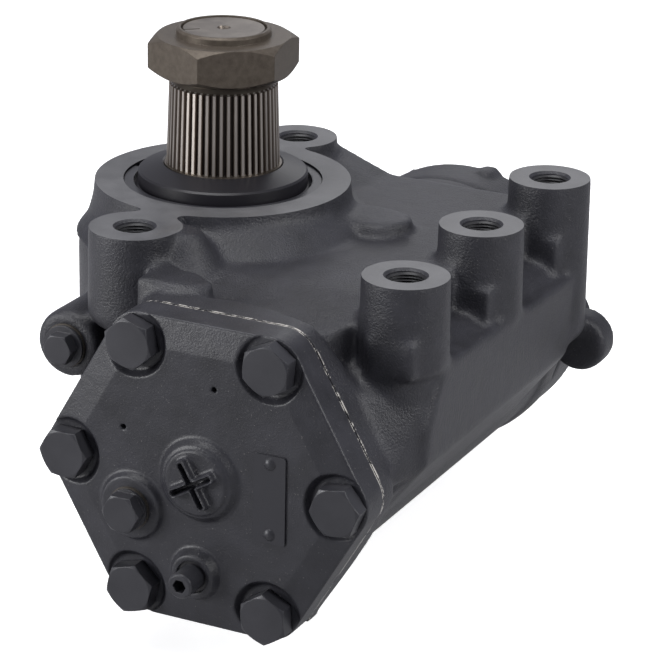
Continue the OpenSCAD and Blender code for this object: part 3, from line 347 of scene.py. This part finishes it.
@dataclass(frozen=True)
class SerratedSteel:
    """Steel of the tapered serration: a painted highlight along the crests, and painted shade
    that darkens the brown flanks down into the valleys.
    """

    name: str = "serrated_steel"
    crest_highlight: str = "9A948E"
    flank: str = "5A5049"
    tip_lit: str = "72685F"
    valley_shade: str = "2C2623"
    plain_dark: str = "5F574F"
    plain_light: str = "7B746C"
    low_z_mm: float = 9.0
    high_z_mm: float = 49.5
    low_r_mm: float = 28.0
    taper: float = 0.033
    depth_mm: float = 1.7
    teeth: int = 48
    patch_mm: float = 8.0

    def make(self) -> bpy.types.Material:
        """Builds the material.

        Returns:
            The material.
        """
        s = Shader(bpy.data.materials.new(self.name))
        where = s.add("TexCoord", out="Object")
        x, y, z = s.add("SeparateXYZ", {0: where}).node.outputs
        squares = [s.add("Math", {0: axis, 1: 2.0}, operation="POWER") for axis in (x, y)]
        total = s.add("Math", {0: squares[0], 1: squares[1]}, operation="ADD")
        across = s.add("Math", {0: total, 1: 0.0}, operation="SQRT")
        # Radius of the crests at this height, then how far a point lies over the valleys
        foot_r = (self.low_r_mm + self.taper * self.low_z_mm) * MM
        lost = s.add("Math", {0: z, 1: self.taper}, operation="MULTIPLY")
        crest_r = s.add("Math", {0: foot_r, 1: lost}, operation="SUBTRACT")
        below = s.add("Math", {0: crest_r, 1: across}, operation="SUBTRACT")
        under = s.add("Math", {0: below, 1: self.depth_mm * MM}, operation="DIVIDE")
        height = s.add("Math", {0: 1.0, 1: under}, operation="SUBTRACT")
        # Painted shade: the colour darkens from the tips of the teeth down to the valleys
        depth_shade_stops = [(0.05, self.valley_shade), (0.5, self.flank), (1.0, self.tip_lit)]
        depth_shaded_flanks = s.add("ValToRGB", {"Fac": height}, stops=depth_shade_stops)
        # How far a point is from the middle of its tooth, from 0 to 0.5 of a tooth
        angle = s.add("Math", {0: y, 1: x}, operation="ARCTAN2")
        turn = s.add("Math", {0: angle, 1: self.teeth / (2 * math.pi)}, operation="MULTIPLY")
        ahead = s.add("Math", {0: turn, 1: self.teeth}, operation="ADD")
        phase = s.add("Math", {0: ahead, 1: 0.0}, operation="FRACT")
        from_half = s.add("Math", {0: phase, 1: 0.5}, operation="SUBTRACT")
        aside = s.add("Math", {0: from_half, 1: 0.0}, operation="ABSOLUTE")
        # Painted highlight: a bright line of colour along the middle of each crest
        on_crest_highlight = s.add("MapRange", {"Value": aside, "From Min": 0.26, "From Max": 0.1})
        toothed = {0: on_crest_highlight, 6: depth_shaded_flanks, 7: from_hex(self.crest_highlight)}
        teeth = s.add("Mix", toothed, out=2, data_type="RGBA")
        # Plain steel over and under the teeth
        over = s.add("Math", {0: z, 1: self.low_z_mm * MM}, operation="GREATER_THAN")
        less = s.add("Math", {0: z, 1: self.high_z_mm * MM}, operation="LESS_THAN")
        on_band = s.add("Math", {0: over, 1: less}, operation="MULTIPLY")
        patches = s.add("TexNoise", sized(where, self.patch_mm, 4.0))
        plain_stops = [(0.3, self.plain_dark), (0.7, self.plain_light)]
        plain = s.add("ValToRGB", {"Fac": patches}, stops=plain_stops)
        s.set(
            Base_Color=s.add("Mix", {0: on_band, 6: plain, 7: teeth}, out=2, data_type="RGBA"),
            Roughness=s.add("MapRange", {"Value": patches, "To Min": 0.3, "To Max": 0.42}),
            Metallic=0.85,
        )
        return s.owner


@dataclass(frozen=True)
class Plain:
    """A finish of one colour and roughness, such as rubber or plastic.

    The grain of its skin is finer than 0.2 mm and is drawn as 0.7 mm, because it is too fine to
    show.
    """

    name: str
    colour: str
    rough: float = 0.6
    metallic: float = 0.0
    grain_depth_mm: float = 0.02
    sheen: float = 0.35
    grain_mm: float = 0.7

    def make(self) -> bpy.types.Material:
        """Builds the material.

        Returns:
            The material.
        """
        s = Shader(bpy.data.materials.new(self.name))
        where = s.add("TexCoord", out="Object")
        s.set(
            Base_Color=from_hex(self.colour),
            Roughness=self.rough,
            Metallic=self.metallic,
            Specular_IOR_Level=self.sheen,
        )
        s.relief([(s.add("TexNoise", sized(where, self.grain_mm)), self.grain_depth_mm)])
        return s.owner


class Finish(Enum):
    """The finishes of the gear."""

    # Black paint on sand-cast iron: the soft grain breaks each highlight into small glints
    CAST = CastPaint()
    # The same paint on a finer casting, which shows as a smoother face
    COVER = CastPaint(
        "cover_paint",
        grain_mm=0.9,
        grain_depth_mm=0.16,
        wave_mm=6.0,
        wave_depth_mm=0.2,
    )
    # Thin paint on milled iron: flat and lighter, because the metal shines through
    FACED = CastPaint(
        "faced_paint",
        dark="434345",
        light="565658",
        grain_mm=0.8,
        grain_depth_mm=0.08,
        wave_mm=6.0,
        wave_depth_mm=0.03,
        rough=(0.36, 0.46),
    )
    # Paint in the cut threads, a little shinier than on the casting
    THREAD = Plain("thread_paint", "29292B", rough=0.4, metallic=0.3)
    # Painted forged bolts: an even dark sheen, with light caught on rounded edges
    BOLT = Steel(
        "bolt_steel",
        "28282C",
        "323236",
        metallic=0.15,
        rough=(0.3, 0.4),
        patch_mm=24.0,
        scratch_depth_mm=0.04,
        edge_mm=0.7,
        sheen=0.4,
    )
    # Rolled teeth of brown bare steel, with a painted highlight along the crests and painted
    # shade darkening down into the valleys
    SHAFT = SerratedSteel()
    # Forged steel with a brown oil film: dull and slightly mottled
    NUT = Steel(
        "nut_steel",
        "463F38",
        "554E46",
        metallic=0.4,
        rough=(0.38, 0.48),
        patch_mm=3.5,
        scratch_depth_mm=0.06,
        edge_mm=0.7,
        sheen=0.2,
    )
    # Ground and hardened steel: pale, with tight soft reflections
    BRIGHT = Steel(
        "ground_steel", "9A9A9E", "B6B6BA", metallic=1.0, rough=(0.18, 0.3), patch_mm=6.0
    )
    # Turned steel with a film of oil: warm grey, broader reflections
    MACHINED = Steel("machined_steel", "6C665F", "8A847C", rough=(0.28, 0.4), patch_mm=8.0)
    # Machined iron: a neutral grey, duller than the steel beside it
    PISTON = Steel("piston_iron", "6A6B6E", "7F8084", rough=(0.3, 0.4), patch_mm=10.0)
    # Soft metal washer gone dull: a matt brown-grey ring
    WASHER = Steel(
        "washer_metal", "46423D", "5B5650", metallic=0.7, rough=(0.4, 0.5), patch_mm=4.0
    )
    # Nitrile rubber with grease on it: the blackest parts, with a soft gloss
    RUBBER = Plain("rubber", "17161A", rough=0.38)
    # Filled plastic of the valve sleeve's rings: matt dark brown
    PLASTIC = Plain("ring_plastic", "2A2825", rough=0.5)
    # Painted sheet metal: smoother than the cover under it
    PLATE = Plain("plate_paint", "2B2B2F", rough=0.38, metallic=0.2)


NODE_FINISH: dict[Finish, str] = {
    Finish.CAST: "housing side_cover valve_housing",
    Finish.COVER: "cylinder_cover",
    Finish.BOLT: (
        "cover_bolts cover_port_plug limiter_screw side_port_plug side_cover_bolts "
        "lash_adjusting_screw lash_lock_nut valve_housing_bolts relief_valve_plug "
        "seal_retaining_ring input_seal_ring"
    ),
    Finish.SHAFT: "sector_shaft",
    Finish.NUT: "pitman_nut",
    Finish.MACHINED: "input_shaft worm_shaft torsion_bar",
    Finish.BRIGHT: (
        "upper_bearing_race upper_bearing_rollers lower_bearing_race lower_bearing_rollers "
        "ball_nut recirculating_balls ball_return_tube worm_bearing_outer_race "
        "worm_bearing_inner_race worm_bearing_balls input_bearing_race input_bearing_rollers "
        "torsion_bar_pin valve_sleeve"
    ),
    Finish.PISTON: "piston_rack piston_ring",
    Finish.WASHER: "cover_plug_seal side_plug_seal relief_plug_seal",
    Finish.RUBBER: (
        "cover_o_ring limiter_seal side_cover_o_ring shaft_seal dust_cap valve_housing_o_ring "
        "input_shaft_seal input_dust_cap"
    ),
    Finish.PLASTIC: "valve_sleeve_rings",
    Finish.PLATE: "type_plate plate_rivets",
}


class FinishShop:
    """Makes each finish once and puts it on nodes and pieces."""

    def __init__(self) -> None:
        """Builds every material."""
        self.materials = {finish: finish.value.make() for finish in Finish}

    def dress(self, obj: bpy.types.Object, finish: Finish) -> None:
        """Gives all of an object one finish."""
        obj.data.materials.clear()
        obj.data.materials.append(self.materials[finish])

    def dress_nodes(self) -> None:
        """Gives every CAD node its finish."""
        for finish, names in NODE_FINISH.items():
            for name in names.split():
                self.dress(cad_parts[name], finish)
                LOG.info("node %s has finish %s", name, finish.value.name)


# ---- castings ----


@dataclass(frozen=True)
class Bar:
    """A round bar, used as extra metal on a casting or as a drill, in millimetres."""

    x: float
    y: float
    z: float
    r: float
    h: float
    top_r: float | None = None
    along_y: bool = False

    def make(self) -> bpy.types.Object:
        """Builds the bar from its base point upwards, or backwards if it lies along Y.

        Returns:
            The bar, with its place in its mesh.
        """
        middle = Vector((self.x, self.y, self.z))
        middle[1 if self.along_y else 2] += self.h / 2
        bpy.ops.mesh.primitive_cone_add(
            vertices=96,
            radius1=self.r * MM,
            radius2=(self.r if self.top_r is None else self.top_r) * MM,
            depth=self.h * MM,
            location=middle * MM,
            rotation=(math.radians(-90) if self.along_y else 0.0, 0.0, 0.0),
        )
        bar = bpy.context.object
        bpy.ops.object.transform_apply(location=True, rotation=True, scale=True)
        return bar


@dataclass(frozen=True)
class Plane:
    """A machined plane of a casting: its axis, its place in millimetres and its open side.

    A vertex within the tolerance belongs to the plane, and the cut reaches as far as reach says.
    """

    axis: int
    place: float
    side: int
    tolerance: float = 0.03
    reach: float = 600.0

    def add_stock(self, piece: bpy.types.Object, thickness: float) -> None:
        """Moves the face out, so that it has metal to be cut off after the edges are rounded.

        Args:
            piece: The piece with the face.
            thickness: How far the face moves, in millimetres.
        """
        for vertex in piece.data.vertices:
            if abs(vertex.co[self.axis] / MM - self.place) < self.tolerance:
                vertex.co[self.axis] += self.side * thickness * MM

    def cut(self, piece: bpy.types.Object) -> None:
        """Cuts the piece flat at the plane, with a block as large as the plane's reach.

        Args:
            piece: The piece to cut.
        """
        centre = Vector((0.0, 0.0, 0.0))
        centre[self.axis] = self.place + self.side * self.reach / 2
        bpy.ops.mesh.primitive_cube_add(size=self.reach * MM, location=centre * MM)
        block = bpy.context.object
        bpy.ops.object.transform_apply(location=True, rotation=True, scale=True)
        take_away(piece, block)


def join_into(piece: bpy.types.Object, others: Sequence[bpy.types.Object]) -> None:
    """Joins other objects into a piece.

    Args:
        piece: The piece that stays.
        others: The objects that become part of it.
    """
    make_active(piece)
    for other in others:
        other.select_set(True)
    bpy.ops.object.join()


def take_away(piece: bpy.types.Object, tool: bpy.types.Object) -> None:
    """Takes a tool's volume away from a piece and removes the tool."""
    apply_modifier(piece, "BOOLEAN", operation="DIFFERENCE", solver="MANIFOLD", object=tool)
    bpy.data.objects.remove(tool, do_unlink=True)


@dataclass
class Casting:
    """A cast piece with rounded edges and crisp machined faces, made from a CAD node.

    The node's mesh gets some extra metal on its machined faces and in its holes. It is rebuilt on
    a fine even grid and relaxed, which gives its corners fillets, and then the planes are cut and
    the holes are drilled to their true sizes.
    """

    node: str
    grid_mm: float
    passes: int
    planes: Sequence[Plane]
    hidden: Callable[[Vector], bool]
    stock: Sequence[Bar] = ()
    drills: Sequence[Bar] = ()
    faced: Callable[[Vector, Vector], bool] | None = None
    finish: Finish = Finish.CAST
    stock_mm: float = 4.0
    smooth_angle: float = 40.0

    def build(self, shop: FinishShop) -> None:
        """Builds the casting in place of its node.

        Args:
            shop: The finishes.
        """
        piece = copy_of_node(self.node, self.node + "_casting")
        for plane in self.planes:
            plane.add_stock(piece, self.stock_mm)
        if self.stock:
            join_into(piece, [bar.make() for bar in self.stock])
        apply_modifier(piece, "REMESH", mode="VOXEL", voxel_size=self.grid_mm * MM)
        apply_modifier(piece, "SMOOTH", factor=0.5, iterations=self.passes)
        for plane in self.planes:
            plane.cut(piece)
        for bar in self.drills:
            take_away(piece, bar.make())
        self.drop_hidden(piece)
        smooth_shade(piece, self.smooth_angle)
        shop.dress(piece, self.finish)
        if self.faced is not None:
            piece.data.materials.append(shop.materials[Finish.FACED])
            for face in piece.data.polygons:
                if self.faced(face.center / MM, face.normal):
                    face.material_index = 1
        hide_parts(self.node)
        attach(piece, "gear_housing")
        LOG.info("casting %s: %d faces", self.node, len(piece.data.polygons))

    def drop_hidden(self, piece: bpy.types.Object) -> None:
        """Deletes the faces of inner hollows that nothing lets see.

        Args:
            piece: The casting.
        """
        make_active(piece)
        bpy.ops.object.mode_set(mode="EDIT")
        bpy.ops.mesh.select_mode(type="VERT")
        bpy.ops.mesh.select_all(action="DESELECT")
        bpy.ops.object.mode_set(mode="OBJECT")
        for vertex in piece.data.vertices:
            vertex.select = self.hidden(vertex.co / MM)
        bpy.ops.object.mode_set(mode="EDIT")
        bpy.ops.mesh.delete(type="VERT")
        bpy.ops.object.mode_set(mode="OBJECT")


@dataclass
class CastBodies:
    """The castings of the gear, with their machined faces and holes, in millimetres."""

    cyl_x: float = 70.5
    cyl_z: float = -91.0
    bore_r: float = 53.8
    chamber_r: float = 51.4
    seal_seat_r: float = 49.2
    seal_seat_z: float = -17.0
    race_r: float = 36.0
    hole_r: float = 9.2
    hole_depth: float = 34.0
    hole_bevel: float = 1.2
    boss_places: tuple[tuple[float, float], ...] = (
        (141, -87),
        (141, -3),
        (141, 81),
        (0, -87),
        (0, 81),
    )
    front_joint: float = -131.0
    rear_joint: float = 113.0
    side_joint: float = -160.0
    valve_bore_r: float = 26.0
    valve_bore_end: float = 160.0
    # Foot of the row's front boss, and the sloping floor of the pockets between the bosses
    boss_foot: Bar = Bar(137.5, -88, -84, 20.5, 40, 19.5)
    pocket_floor: Bar = Bar(141, -78, -53, 15, 140, along_y=True)
    # Neck that slopes down from the ring beside its front boss
    neck: Bar = Bar(20, -77, -44, 35, 42.5, 9)
    # The two round ends of the oval cast pad on the deck
    deck_pad: tuple[Bar, Bar] = (Bar(71, 18.5, -26, 11.5, 15), Bar(84, 15.5, -26, 11.5, 15))
    # Small cast lug on the valve housing's rear rim
    valve_lug: Bar = Bar(82.5, 132, -27.5, 7.5, 12, along_y=True)
    # How far plugs and drills stand over a machined face
    over: float = 6.0

    def along(self, p: Vector) -> float:
        """Gives a point's distance from the cylinder's axis."""
        return math.hypot(p.x - self.cyl_x, p.z - self.cyl_z)

    def housing_hidden(self, p: Vector) -> bool:
        """Tells whether a point lies in the bores of the housing, behind other pieces.

        Args:
            p: The point in millimetres.

        Returns:
            True where the point isn't seen.
        """
        if self.along(p) < self.bore_r and self.front_joint + 2 < p.y < self.rear_joint - 2:
            return True
        in_chamber = math.hypot(p.x, p.y) < self.chamber_r
        return in_chamber and self.side_joint + 2 < p.z < self.seal_seat_z - 1.5

    def housing(self) -> Casting:
        """Describes the housing.

        Returns:
            The casting, ready to be built.
        """
        depth, bevel, seat_z = self.hole_depth, self.hole_bevel, self.seal_seat_z
        places, over = self.boss_places, self.over
        # Plugs for the mounting holes and the seal's seat, drilled again once the edges are round
        stock = [Bar(x, y, -depth - over, self.hole_r + 3, depth + over + 4) for x, y in places]
        stock.append(Bar(0, 0, seat_z - 2, self.seal_seat_r + 2, over - seat_z))
        stock.extend([self.boss_foot, self.pocket_floor, self.neck, *self.deck_pad])
        drills = [Bar(x, y, -depth, self.hole_r, depth + over) for x, y in places]
        wide_r = self.hole_r + 2 * bevel
        drills += [Bar(x, y, -bevel, self.hole_r, 2 * bevel, wide_r) for x, y in places]
        drills.append(Bar(0, 0, seat_z, self.seal_seat_r, over - seat_z))
        drills.append(Bar(0, 0, seat_z - 50, self.race_r, 60))
        return Casting(
            "housing",
            grid_mm=1.7,
            passes=14,
            planes=(
                Plane(2, 0.0, 1),
                Plane(1, self.front_joint, -1),
                Plane(1, self.rear_joint, 1),
                Plane(2, self.side_joint, -1),
            ),
            hidden=self.housing_hidden,
            stock=stock,
            drills=drills,
            faced=lambda place, normal: place.z > -0.05 and normal.z > 0.9,
        )

    def build(self, shop: FinishShop) -> None:
        """Builds the castings.

        Args:
            shop: The finishes.
        """
        self.housing().build(shop)
        front, rear, low = self.front_joint, self.rear_joint, self.side_joint
        Casting(
            "cylinder_cover",
            grid_mm=0.68,
            passes=3,
            planes=(Plane(1, front, 1),),
            hidden=lambda p: p.y > front - 0.5,
            finish=Finish.COVER,
        ).build(shop)
        Casting(
            "valve_housing",
            grid_mm=1.5,
            passes=5,
            planes=(Plane(1, rear, -1),),
            hidden=lambda p: self.along(p) < self.valve_bore_r and p.y < self.valve_bore_end,
            stock=(self.valve_lug,),
        ).build(shop)
        Casting(
            "side_cover",
            grid_mm=1.4,
            passes=4,
            planes=(Plane(2, low, 1),),
            hidden=lambda p: p.z > low - 0.5,
        ).build(shop)


@dataclass
class HoleThreads:
    """The threads of the mounting holes, as one ridge wound down each hole, in millimetres."""

    places: Sequence[tuple[float, float]]
    hole_r: float = 9.2
    ridge_r: float = 0.85
    pitch: float = 1.5
    turns: int = 16
    start_z: float = -2.2
    steps: int = 48
    smooth_angle: float = 20.0

    def ridge(self, shop: FinishShop) -> bpy.types.Object:
        """Winds one ridge round the frame's Z axis, to be copied to each hole.

        Args:
            shop: The finishes.

        Returns:
            The ridge.
        """
        bpy.ops.mesh.primitive_circle_add(
            vertices=4,
            radius=self.ridge_r * MM,
            location=(self.hole_r * MM, 0.0, self.start_z * MM),
            rotation=(math.radians(90), 0.0, 0.0),
        )
        ridge = bpy.context.object
        bpy.ops.object.transform_apply(location=True, rotation=True, scale=True)
        apply_modifier(
            ridge,
            "SCREW",
            axis="Z",
            screw_offset=-self.pitch * MM,
            iterations=self.turns,
            steps=self.steps,
            render_steps=self.steps,
            use_merge_vertices=True,
        )
        smooth_shade(ridge, self.smooth_angle)
        shop.dress(ridge, Finish.THREAD)
        return ridge

    def build(self, shop: FinishShop) -> None:
        """Builds the ridges of all holes.

        Args:
            shop: The finishes.
        """
        first = self.ridge(shop)
        for number, (x, y) in enumerate(self.places, 1):
            thread = bpy.data.objects.new(f"hole_thread_{number}", first.data.copy())
            bpy.context.scene.collection.objects.link(thread)
            for vertex in thread.data.vertices:
                vertex.co += Vector((x, y, 0.0)) * MM
            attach(thread, "gear_housing")
            LOG.info("thread %d: %d faces", number, len(thread.data.polygons))
        bpy.data.objects.remove(first, do_unlink=True)


@dataclass
class ShaftNut:
    """The output shaft's nut, turned until its corners stand as in the photograph, in degrees."""

    turn: float = 32.1
    smooth_angle: float = 12.0

    def build(self, shop: FinishShop) -> None:
        """Builds the nut in place of its node.

        Args:
            shop: The finishes.
        """
        nut = copy_of_node("pitman_nut", "shaft_nut")
        nut.rotation_euler.z = math.radians(self.turn)
        make_active(nut)
        bpy.ops.object.transform_apply(location=False, rotation=True, scale=False)
        # The copied normals no longer fit the merged and turned mesh
        bpy.ops.mesh.customdata_custom_splitnormals_clear()
        smooth_shade(nut, self.smooth_angle)
        shop.dress(nut, Finish.NUT)
        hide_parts("pitman_nut")
        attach(nut, "output_shaft")
        LOG.info("nut: %d faces", len(nut.data.polygons))


# ---- studio ----


@dataclass(frozen=True)
class Softbox:
    """A square lamp: its name, its place and side in millimetres, and its power in watts."""

    name: str
    place: Point
    side: float
    watts: float

    def hang(self, target: Vector) -> None:
        """Adds the lamp to the scene.

        Args:
            target: The point that it shines at, in millimetres.
        """
        start = Vector(self.place) * MM
        bpy.ops.object.light_add(type="AREA", location=start)
        lamp = bpy.context.object
        lamp.name = self.name
        lamp.data.shape = "SQUARE"
        lamp.data.size = self.side * MM
        lamp.data.energy = self.watts
        aim = target * MM - start
        lamp.rotation_euler = aim.to_track_quat("-Z", "Y").to_euler()


@dataclass
class Studio:
    """Camera, lamps, floor and background, sizes in millimetres."""

    azimuth: float = 26.2
    elevation: float = 20.5
    roll: float = 1.1
    target: Point = (89.7, -59.3, -44.9)
    distance: float = 1417.7
    focal_px: float = 3011.2
    frame_px: float = 660.0
    sensor: float = 36.0
    floor_x: float = 70.0
    floor_z: float = -187.0
    sky: str = "E4E6F6"
    sky_strength: float = 0.26
    mirrored: float = 0.22
    floor_seen: str = "F2F2F2"
    floor_unseen: str = "8C8C90"
    floor_glow: float = 0.62
    floor_side_m: float = 12.0
    softboxes: tuple[Softbox, ...] = (
        Softbox("softbox_top", (-150, -200, 1150), 900, 15),
        Softbox("softbox_left", (-780, -960, 220), 600, 15),
        Softbox("softbox_right", (1150, -100, 560), 700, 12),
        Softbox("softbox_behind", (-300, 1200, 620), 600, 1.6),
    )

    def camera(self) -> None:
        """Places the camera as the photograph was taken."""
        a, e, r = (math.radians(v) for v in (self.azimuth, self.elevation, self.roll))
        back = Vector((math.sin(a) * math.cos(e), -math.cos(a) * math.cos(e), math.sin(e)))
        right = Vector((math.cos(a), math.sin(a), 0.0))
        up = back.cross(right)
        level_right = right * math.cos(r) + up * math.sin(r)
        level_up = up * math.cos(r) - right * math.sin(r)
        place = (Vector(self.target) + back * self.distance) * MM
        bpy.ops.object.camera_add(location=place)
        camera = bpy.context.object
        turn = Matrix((level_right, level_up, back)).transposed()
        camera.rotation_euler = turn.to_euler()
        camera.data.sensor_width = self.sensor
        camera.data.lens = self.focal_px / self.frame_px * self.sensor
        camera.data.clip_start, camera.data.clip_end = 0.05, 20.0
        bpy.context.scene.camera = camera

    def seen(self, s: Shader) -> bpy.types.NodeSocket:
        """Tells how fully a ray sees the white background.

        Args:
            s: The floor's or the world's nodes.

        Returns:
            A socket that is 1 for the camera, less for gloss and 0 for plain light.
        """
        path = s.add("LightPath").node.outputs
        gloss = {0: path["Is Glossy Ray"], 1: self.mirrored}
        mirrored = s.add("Math", gloss, operation="MULTIPLY")
        return s.add("Math", {0: path["Is Camera Ray"], 1: mirrored}, operation="MAXIMUM")

    def floor(self) -> None:
        """Adds the white floor, which keeps the gear's shadow faint."""
        place = (self.floor_x * MM, 0, self.floor_z * MM)
        bpy.ops.mesh.primitive_plane_add(size=self.floor_side_m, location=place)
        floor = bpy.context.object
        floor.name = "floor"
        s = Shader(bpy.data.materials.new("floor_white"))
        seen = self.seen(s)
        tints = {0: seen, 6: from_hex(self.floor_unseen), 7: from_hex(self.floor_seen)}
        s.set(
            Base_Color=s.add("Mix", tints, out=2, data_type="RGBA"),
            Roughness=1.0,
            Emission_Color=(1, 1, 1, 1),
            Emission_Strength=s.add("Math", {0: seen, 1: self.floor_glow}, operation="MULTIPLY"),
        )
        floor.data.materials.append(s.owner)

    def world(self) -> None:
        """Makes the surroundings white to the camera and an even light grey to the gear."""
        world = bpy.data.worlds.new("studio")
        bpy.context.scene.world = world
        s = Shader(world, "Background")
        seen = self.seen(s)
        tints = {0: seen, 6: from_hex(self.sky), 7: (1, 1, 1, 1)}
        strengths = {"Value": seen, "To Min": self.sky_strength, "To Max": 1.0}
        s.set(
            Color=s.add("Mix", tints, out=2, data_type="RGBA"),
            Strength=s.add("MapRange", strengths),
        )

    def build(self) -> None:
        """Sets up the studio."""
        self.camera()
        self.floor()
        self.world()
        for softbox in self.softboxes:
            softbox.hang(Vector(self.target))
        bpy.context.scene.view_settings.view_transform = "Standard"


def main() -> None:
    """Builds the scene."""
    logging.basicConfig(level=logging.INFO, format="%(message)s")
    Studio().build()
    shop = FinishShop()
    shop.dress_nodes()
    bodies = CastBodies()
    bodies.build(shop)
    HoleThreads(bodies.boss_places).build(shop)
    ShaftNut().build(shop)


if __name__ == "__main__":
    main()
